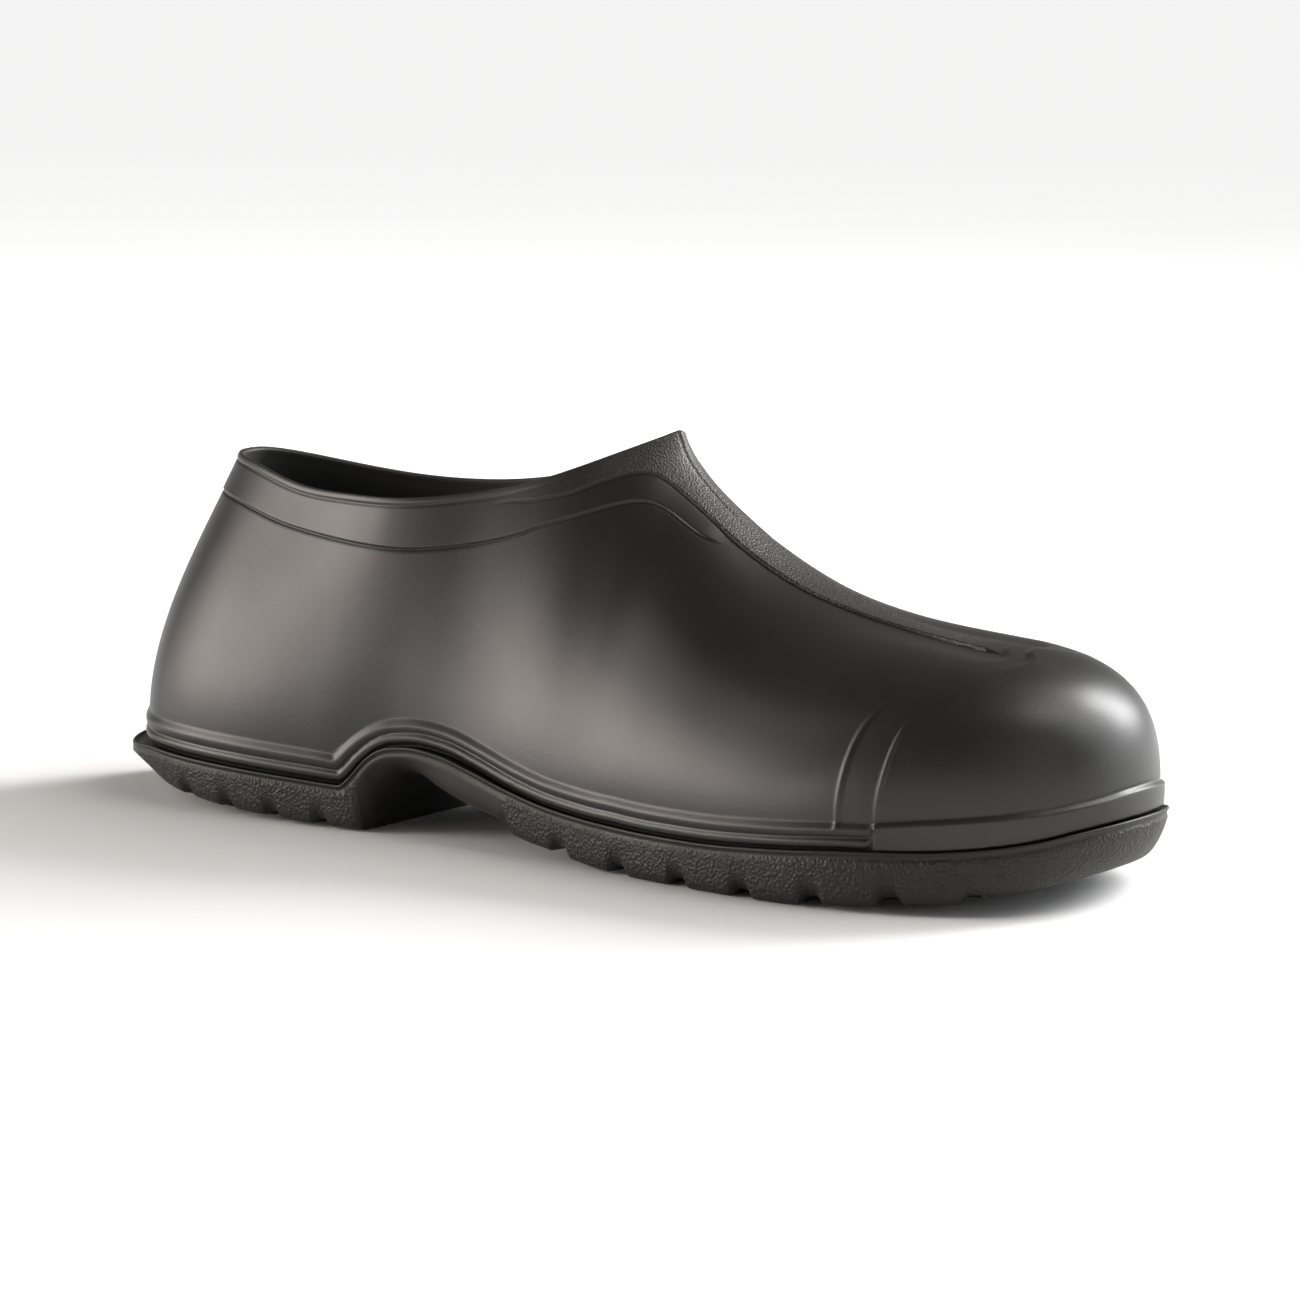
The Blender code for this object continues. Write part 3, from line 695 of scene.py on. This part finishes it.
def outsole_stations():
    cuts = sorted(e for ab in lug_edges() for e in ab if e > 0)
    near = np.array([-1.7, -1.25, -0.85, -0.45, 0.0, 0.45, 0.85, 1.25, 1.7])
    xs = [by_angle(0, 30, 26), np.arange(30.5, 34.6, 0.5), BREAST + np.arange(-1.5, 4.5, 0.3)]
    xs += [c + near for c in cuts]
    for a, b in zip(cuts[:-1], cuts[1:]):
        xs.append(np.linspace(a + 1.7, b - 1.7, max(3, int((b - a) / (1.6 if b - a < 22 else 0.75)))))
    xs += [by_angle(cuts[-1] + 1.7, LENGTH, 36)]
    xs = np.sort(np.concatenate(xs))
    return xs[np.r_[True, np.diff(xs) > 0.08]]


def sole_profile(x, side):
    """One column of the outsole from the floor inside, over its lip and side, to the tread field: points and pebble."""
    t = float(turn(x / LENGTH))
    o, out = np.append(outline(t, side), 0), outward(outline, t, side)
    zs = float(seat[side](x)) - GAP
    spur = 1 - float(ease(2, 26, x))
    zt = zs - SPUR * spur + 0.6
    inner, b, g, up_ = float(ledge(x)) + WALL, float(bevel(x)), lug_share(x), float(edge_rise(x))
    place = lambda d: float((o - out * d)[0])
    rough = 1 - float(ease(97, 103, x) - ease(147, 151, x))
    rows = [(15.0, None, 0), (inner + 2.4, None, 0), (inner + 1.3, zs, 0), (inner, zs, 0),
            (float(ledge(x)) - 0.1, zs - 0.1, 0), (0.95, zt - 0.75, 0)]
    rows += [(d, zt + dz, 0) for d, dz in ((0.85, -0.25), (0.66, -0.03), (0.42, 0.03), (0.2, -0.08), (0.05, -0.32), (0.08, -0.62))]
    cove = (1 - spur) * (1 - 0.3 * float(ease(96, 110, x)))
    rows += [(0.08 + cove * dd, zt - 0.62 - dz, pb * rough) for dd, dz, pb in (
        (0.34, 0.25, 0), (0.62, 0.6, 0), (0.68, 1.05, 0.2), (0.55, 1.5, 0.6), (0.36, 2.0, 1))]
    d0, z0 = rows[-1][:2]
    # side of a lug and of the gap between lugs, as cubic curves
    toe = float(ease(286, 290, x))
    waist = float(ease(101, 104, x) - ease(146.5, 149.5, x))
    soft = max(toe, waist)
    low = float(under(place(b + 1.0))) - TREAD + up_
    notch = (1.3 + 0.6 * float(ease(110, 140, x))) * (1 - soft) + TREAD * soft
    fall, tall = z0 - low, z0 - low - notch
    k = float(ease(2.4, 9.0, b))
    first = (d0 + 0.1 + 0.34 * (b - 2.4), z0 - 0.5 * fall)
    turn_in = 0.3 * b + 0.45 * b * k
    lug = np.array([(d0, z0), first, (turn_in, low + 0.05 * fall), (b, low)])
    gap = np.array([(d0, z0), first, (turn_in + 0.75 * (1 - soft), low + notch + (0.22 - 0.17 * soft) * tall), (b + 0.9 * (1 - soft), low + notch)])
    ctrl = g * lug + (1 - g) * gap
    s = np.linspace(0, 1, 15)[1:, None]
    wall = ctrl[0] * (1 - s) ** 3 + 3 * ctrl[1] * s * (1 - s) ** 2 + 3 * ctrl[2] * s * s * (1 - s) + ctrl[3] * s ** 3
    face = rough * max(g, toe)
    back = 1 - 0.7 * spur
    for j, (dd, zz) in enumerate(wall):
        rows.append((dd, zz, back * rough * (1 - (1 - face) * float(ease(8, 13, j)))))
    deep = min(max(b + 1.9, 4.8), 10.4)
    for dd in (max(deep, b + 0.3 + 0.9 * (1 - soft)), max(deep + 0.4 * (11.2 - deep), b + 0.6), 11.2, 11.5):
        rise = (TREAD - notch) * (1 - soft) * (1 - float(ease(b, b + 4.5, dd)))
        rows.append((dd, float(under(place(dd))) - TREAD * g - rise * (1 - g) + up_ * (1 - float(ease(b, 11.2, dd))), face))
    rows += [(dd, float(field_level(place(dd))), float(1 - ease(34, 36, place(dd)) + ease(286, 289, place(dd)))) for dd in (12.1, 12.6)]
    pts = np.array([o - out * d + UP * (float(floor(place(d))) if z is None else z) for d, z, _ in rows])
    return pts, np.array([r[2] for r in rows], float)


def bridge(idx, verts, pebble, row, level, cols, n, inside):
    """Closes the bottom or the floor from the medial to the lateral columns."""
    steps = np.linspace(0, 1, 13)[1:-1]
    lines = []
    for i in range(n + 1):
        a, b = idx[i, row], idx[(2 * n - i) % (2 * n), row]
        if a == b:
            lines.append([a] * (len(steps) + 2))
            continue
        pa, pb = verts[a], verts[b]
        line = [a]
        for s in steps:
            q = pa + (pb - pa) * s
            q[2] = float(level(q[0]))
            line.append(len(verts))
            verts.append(q)
            pebble.append(0.0 if inside else float(1 - ease(34, 36, q[0]) + ease(286, 289, q[0])))
        lines.append(line + [b])
    f = quads(np.array(lines))
    return f if inside else [q[::-1] for q in f]


def build_outsole(material):
    stations = outsole_stations()
    cols, n = around(stations), len(stations) - 1
    pairs = [sole_profile(x, side) for _, x, side in cols]
    p = np.array([a for a, _ in pairs])
    idx = np.arange(p.shape[0] * p.shape[1]).reshape(p.shape[:2])
    verts, pebble = list(p.reshape(-1, 3)), list(np.concatenate([b for _, b in pairs]))
    ring = np.vstack([idx, idx[:1]])
    faces = [f[::-1] for f in quads(ring)]
    faces += bridge(idx, verts, pebble, -1, field_level, cols, n, False)
    faces += bridge(idx, verts, pebble, 0, floor, cols, n, True)
    return mesh_object("outsole_body", np.array(verts), faces, material, {"pebble": pebble})


def bar(x0, reach):
    """Bar across the tread with teeth in front and behind in turn; one skin, open where it meets the sole."""
    lo = [float(axis_y(x0)) - float(plan_half[-1](turn(x0 / LENGTH))) + 13.1, float(axis_y(x0)) + float(plan_half[1](turn(x0 / LENGTH))) - 13.1]
    first = int(np.ceil((lo[0] + 0.8) / TOOTH))
    cuts = np.arange(first, (lo[1] - 0.8) / TOOTH) * TOOTH
    ys = [float(y) for y in np.r_[lo[0], cuts, lo[1]]]
    x1, x2, x3, x4 = x0 - reach, x0 - SPINE, x0 + SPINE, x0 + reach
    verts, faces, index, rim = [], [], {}, set()

    def at(x, y, depth):
        key = (x, y, depth)
        if key not in index:
            index[key] = len(verts)
            verts.append((x, y, float(under(x)) - depth))
        return index[key]

    for j, (ya, yb) in enumerate(zip(ys[:-1], ys[1:])):
        for xa, xb in ((x2, x3), (x3, x4) if (first + j) % 2 else (x1, x2)):
            ring = [(xa, ya), (xb, ya), (xb, yb), (xa, yb)]
            faces.append([at(*q, TREAD) for q in ring][::-1])
            for edge in zip(ring, ring[1:] + ring[:1]):
                if edge[::-1] in rim:
                    rim.remove(edge[::-1])
                else:
                    rim.add(edge)
    for c, d in sorted(rim):
        faces.append([at(*c, -0.4), at(*d, -0.4), at(*d, TREAD), at(*c, TREAD)][::-1])
    return verts, faces


def ring_bead(path, half, height):
    """Low rounded bead along a closed path on the waist's underside."""
    path = np.array(path)
    along = np.roll(path, -1, 0) - np.roll(path, 1, 0)
    side = np.stack([-along[:, 1], along[:, 0]], -1)
    side /= np.linalg.norm(side, axis=1, keepdims=True)
    verts, k = [], 7
    for p, s in zip(path, side):
        for a in np.linspace(0, np.pi, k):
            q = p + s * half * np.cos(a)
            verts.append((q[0], q[1], float(under(q[0])) + 0.15 - (height + 0.15) * np.sin(a)))
    idx = np.arange(len(verts)).reshape(len(path), k)
    return verts, quads(np.vstack([idx, idx[:1]]))


def frame_path(x0, y0, half_x, half_y, radius):
    """Closed rectangle with round corners, walked in steps of about a millimetre; a ring when the radius fills it."""
    pts = [(x0 + sx * (half_x - radius) + radius * np.cos(t), y0 + sy * (half_y - radius) + radius * np.sin(t))
           for sx, sy, turn_ in ((1, 1, 0), (-1, 1, 90), (-1, -1, 180), (1, -1, 270)) for t in np.radians(turn_ + np.linspace(0, 90, 7))]
    pts = np.array(pts + pts[:1])
    run = np.r_[0, np.cumsum(np.linalg.norm(np.diff(pts, axis=0), axis=1))]
    at = np.linspace(0, run[-1], max(40, int(run[-1])) + 1)[:-1]
    return np.stack([np.interp(at, run, pts[:, k]) for k in (0, 1)], -1)


def ticks(x0, y0, near, far, number, half):
    """Short plain bars set around a ring, open where they meet the sole."""
    verts, faces = [], []
    for t in np.arange(number) * 2 * np.pi / number:
        u, v, k = np.array([np.cos(t), np.sin(t)]), np.array([-np.sin(t), np.cos(t)]), len(verts)
        for depth in (-0.15, 0.4):
            for r, w in ((near, -half), (far, -half), (far, half), (near, half)):
                q = np.array([x0, y0]) + r * u + w * v
                verts.append((q[0], q[1], float(under(q[0])) - depth))
        faces += [[k + i, k + (i + 1) % 4, k + 4 + (i + 1) % 4, k + 4 + i][::-1] for i in range(4)] + [[k + 4, k + 5, k + 6, k + 7][::-1]]
    return verts, faces


def build_tread(material):
    verts, faces = [], []

    def add(part):
        k = len(verts)
        verts.extend(part[0])
        faces.extend([[i + k for i in f] for f in part[1]])

    for first, pitch, number in FIELDS:
        for i in range(number):
            add(bar(first + pitch * i, pitch / 2 - 0.12))
    for x0, y0, half_x, half_y, radius, bead in MARKS:
        add(ring_bead(frame_path(x0, y0, half_x, half_y, radius), bead, 0.45))
    add(ticks(*DIAL))
    ob = mesh_object("outsole_tread", np.array(verts), faces, material, {"pebble": np.zeros(len(verts))})
    ob.data.shade_flat()
    return ob


# ---- materials ----------------------------------------------------------------------------------
def node_tree(name):
    m = bpy.data.materials.new(name)
    m.use_nodes = True
    return m, m.node_tree, m.node_tree.nodes["Principled BSDF"]


def add_node(tree, kind, **values):
    node = tree.nodes.new(kind)
    for key, value in values.items():
        if key in node.inputs:
            node.inputs[key].default_value = value
        else:
            setattr(node, key, value)
    return node


def noise(tree, coords, scale, detail=3.0, rough=0.55):
    n = add_node(tree, "ShaderNodeTexNoise", Scale=scale, Detail=detail, Roughness=rough)
    tree.links.new(coords, n.inputs["Vector"])
    return n.outputs["Fac"]


def cells(tree, coords, scale):
    n = add_node(tree, "ShaderNodeTexVoronoi", feature="SMOOTH_F1", Scale=scale, Smoothness=0.6)
    tree.links.new(coords, n.inputs["Vector"])
    return n.outputs["Distance"]


def maths(tree, operation, a, b):
    n = add_node(tree, "ShaderNodeMath", operation=operation)
    for k, v in enumerate((a, b)):
        if isinstance(v, (int, float)):
            n.inputs[k].default_value = v
        else:
            tree.links.new(v, n.inputs[k])
    return n.outputs[0]


def ramp(tree, fac, low, high, a=0.0, b=1.0):
    n = add_node(tree, "ShaderNodeMapRange")
    n.inputs["From Min"].default_value, n.inputs["From Max"].default_value = a, b
    n.inputs["To Min"].default_value, n.inputs["To Max"].default_value = low, high
    tree.links.new(fac, n.inputs["Value"])
    return n.outputs["Result"]


def mix(tree, fac, a, b):
    n = add_node(tree, "ShaderNodeMix", data_type="RGBA")
    tree.links.new(fac, n.inputs["Factor"])
    for key, v in (("A", a), ("B", b)):
        socket = [s for s in n.inputs if s.name == key and s.type == "RGBA"][0]
        if isinstance(v, tuple):
            socket.default_value = (*v, 1.0)
        else:
            tree.links.new(v, socket)
    return [s for s in n.outputs if s.type == "RGBA"][0]


def layer(tree, name):
    return add_node(tree, "ShaderNodeAttribute", attribute_name=name).outputs["Fac"]


def bump(tree, height, distance, strength, below=None):
    n = add_node(tree, "ShaderNodeBump", Distance=distance, Strength=strength)
    tree.links.new(height, n.inputs["Height"])
    if below is not None:
        tree.links.new(below, n.inputs["Normal"])
    return n.outputs["Normal"]


def upper_material():
    m, tree, shader = node_tree("upper_pvc_moulded")
    co = add_node(tree, "ShaderNodeTexCoord").outputs["Object"]
    broad, fine = noise(tree, co, 22.0, 4.0), noise(tree, co, 1100.0, 2.0)
    tint = mix(tree, ramp(tree, broad, 0, 1, 0.3, 0.7), (0.0115, 0.0109, 0.0101), (0.0165, 0.0156, 0.0145))
    # painted highlight: the colour is lighter where the relief stands proud, on the ribs, band, strip and rand
    painted_highlights = mix(tree, maths(tree, "MULTIPLY", layer(tree, "raised"), 0.35), tint, (0.026, 0.0247, 0.0228))
    grain = maths(tree, "MULTIPLY", cells(tree, co, 1900.0), layer(tree, "grain"))
    # painted highlights: lighter speckle on the raised grain of the strip, as if the pebbles catch the light
    painted_highlights = mix(tree, ramp(tree, grain, 0.0, 0.55, 0.25, 0.75), painted_highlights, (0.060, 0.0575, 0.0540))
    tree.links.new(mix(tree, layer(tree, "inside"), painted_highlights, (0.045, 0.0438, 0.0420)), shader.inputs["Base Color"])
    gloss = ramp(tree, noise(tree, co, 60.0, 5.0), 0.37, 0.41, 0.3, 0.7)
    gloss = maths(tree, "ADD", gloss, maths(tree, "MULTIPLY", layer(tree, "inside"), 0.2))
    gloss = maths(tree, "ADD", gloss, maths(tree, "MULTIPLY", layer(tree, "grain"), 0.05))
    tree.links.new(gloss, shader.inputs["Roughness"])
    n1 = bump(tree, grain, 0.00024, 0.7)
    n2 = bump(tree, fine, 0.00006, 0.5, n1)
    tree.links.new(n2, shader.inputs["Normal"])
    return m


def sole_material():
    m, tree, shader = node_tree("outsole_pvc_pebbled")
    co = add_node(tree, "ShaderNodeTexCoord").outputs["Object"]
    pebble = layer(tree, "pebble")
    grain = cells(tree, co, 1250.0)
    tint = mix(tree, ramp(tree, noise(tree, co, 30.0, 5.0), 0, 1, 0.3, 0.7), (0.0105, 0.0096, 0.0085), (0.0165, 0.0151, 0.0134))
    # painted highlight: lighter speckle on the pebbles of the outsole's side and tread field
    pebble_painted_highlight = mix(tree, maths(tree, "MULTIPLY", ramp(tree, grain, 0.0, 1.0, 0.55, 0.2), maths(tree, "MULTIPLY", pebble, 0.5)), tint, (0.027, 0.0249, 0.0222))
    tree.links.new(pebble_painted_highlight, shader.inputs["Base Color"])
    shader.inputs["Specular IOR Level"].default_value = 0.38
    gloss = maths(tree, "ADD", ramp(tree, noise(tree, co, 80.0, 4.0), 0.40, 0.52, 0.3, 0.7), maths(tree, "MULTIPLY", pebble, 0.06))
    tree.links.new(gloss, shader.inputs["Roughness"])
    n1 = bump(tree, maths(tree, "MULTIPLY", grain, pebble), 0.00042, 0.8)
    n2 = bump(tree, noise(tree, co, 700.0, 3.0), 0.00005, 0.4, n1)
    tree.links.new(n2, shader.inputs["Normal"])
    return m


def floor_material():
    m, tree, shader = node_tree("studio_floor")
    co = add_node(tree, "ShaderNodeTexCoord").outputs["Object"]
    tree.links.new(mix(tree, noise(tree, co, 3.0, 3.0), (0.92, 0.92, 0.92), (0.95, 0.95, 0.945)), shader.inputs["Base Color"])
    shader.inputs["Roughness"].default_value = 0.9
    # the floor glows: painted light, weakest in an ellipse round the shoe as a painted contact shadow, and rising far
    # off to the white of the backdrop
    wide = add_node(tree, "ShaderNodeVectorMath", operation="MULTIPLY")
    wide.inputs[1].default_value = (1.0, 1.6, 1.0)
    tree.links.new(co, wide.inputs[0])
    far = add_node(tree, "ShaderNodeVectorMath", operation="LENGTH")
    tree.links.new(wide.outputs["Vector"], far.inputs[0])
    glow = maths(tree, "ADD", ramp(tree, far.outputs["Value"], 0.0, 0.30, 0.25, 0.80), ramp(tree, far.outputs["Value"], 0.0, 0.50, 0.80, 2.6))
    tree.links.new(glow, shader.inputs["Emission Strength"])
    shader.inputs["Emission Color"].default_value = (1.0, 1.0, 1.0, 1.0)
    return m


# ---- pieces -------------------------------------------------------------------------------------
upper = build_upper(upper_material())
sole_look = sole_material()
outsole, tread = build_outsole(sole_look), build_tread(sole_look)
for piece, slot in ((upper, "upper"), (outsole, "outsole"), (tread, "outsole")):
    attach(piece, "root")
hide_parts("upper")
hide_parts("outsole")

# ---- floor, light and camera --------------------------------------------------------------------
ground = bpy.data.meshes.new("studio_floor")
a = np.linspace(0, 2 * np.pi, 97)[:-1]
ground.from_pydata(np.stack([40 * np.cos(a), 40 * np.sin(a), 0 * a - 0.0002], -1).tolist(), [], [list(range(96))])
ground.materials.append(floor_material())
ground_ob = bpy.data.objects.new("studio_floor", ground)
bpy.context.scene.collection.objects.link(ground_ob)

world = bpy.data.worlds.new("studio")
bpy.context.scene.world = world
world.use_nodes = True
wt = world.node_tree
sky = wt.nodes["Background"]
way = add_node(wt, "ShaderNodeTexCoord").outputs["Generated"]
dot = add_node(wt, "ShaderNodeVectorMath", operation="DOT_PRODUCT")
wt.links.new(way, dot.inputs[0])
dot.inputs[1].default_value = Vector((0.12, -0.80, 0.58)).normalized()
height = add_node(wt, "ShaderNodeSeparateXYZ")
wt.links.new(way, height.inputs[0])
# bright at the horizon, dim overhead and dimmest in front of the shoe
glow = maths(wt, "ADD", ramp(wt, height.outputs["Z"], 0.80, 0.0, 0.02, 0.20), ramp(wt, dot.outputs["Value"], 0.18, 0.05, -0.35, 0.40))
wt.links.new(glow, sky.inputs["Strength"])
sky.inputs["Color"].default_value = (1.0, 0.995, 0.985, 1.0)


LIGHTS = [  # name; azimuth and height in degrees seen from the shoe; width and height in metres; radiance; tint
    ("left_low", 210, 8, 0.62, 0.74, 9.4, (1.0, 0.91, 0.84)),
    ("front_left_low", 236, 3, 0.80, 0.28, 5.2, (1.0, 0.92, 0.86)),
    ("left_high", 205, 34, 0.60, 0.50, 2.6, (1.0, 0.98, 0.95)),
    ("behind_right", 30, 35, 1.30, 0.60, 3.2, (1.0, 1.0, 1.0)),
    ("toe", 60, 29, 0.50, 0.90, 20.0, (1.0, 1.0, 1.0)),
    ("right_low", 46, 12, 1.60, 0.50, 2.4, (0.95, 0.97, 1.0)),
    ("right_top", 0, 56, 0.60, 0.55, 4.5, (1.0, 0.99, 0.96)),
    ("top", 45, 60, 0.70, 0.60, 2.5, (1.0, 0.95, 0.90)),
    ("front_right", 330, 20, 0.60, 0.60, 0.8, (1.0, 1.0, 1.0)),
]


def softbox(name, around_, height, wide, tall, radiance, tint):
    d = bpy.data.lights.new(name, "AREA")
    d.shape = "RECTANGLE"
    d.size, d.size_y = wide, tall
    d.energy = radiance * math.pi * wide * tall
    d.color = tint
    ob = bpy.data.objects.new(name, d)
    bpy.context.scene.collection.objects.link(ob)
    a, h = math.radians(around_), math.radians(height)
    way_ = Vector((math.cos(a) * math.cos(h), math.sin(a) * math.cos(h), math.sin(h)))
    ob.location = Vector((0.02, 0.0, 0.10)) + 1.5 * way_
    ob.rotation_euler = (-way_).to_track_quat("-Z", "Y").to_euler()


for row in LIGHTS:
    softbox(*row)

TURN, RAISE, AWAY = math.radians(34.2), math.radians(8.7), 1.2
back = Vector((math.sin(TURN) * math.cos(RAISE), -math.cos(TURN) * math.cos(RAISE), math.sin(RAISE)))
right = Vector((math.cos(TURN), math.sin(TURN), 0.0))
up = back.cross(right)
target = Vector(((158.0 - ORIGIN[0]) * 0.001, -ORIGIN[1] * 0.001, 0.045))
place = target + back * AWAY
aim = target + right * 0.0059 + up * 0.0030
cam = bpy.data.cameras.new("camera")
cam.sensor_width = 36.0
cam.lens = 127.4
cam.clip_start, cam.clip_end = 0.05, 200.0
cam_ob = bpy.data.objects.new("camera", cam)
bpy.context.scene.collection.objects.link(cam_ob)
z = (place - aim).normalized()
x = Vector((0, 0, 1)).cross(z).normalized()
cam_ob.matrix_world = Matrix((x, z.cross(x), z)).transposed().to_4x4()
cam_ob.location = place
bpy.context.scene.camera = cam_ob
bpy.context.scene.view_settings.view_transform = "Standard"

bpy.context.view_layer.update()
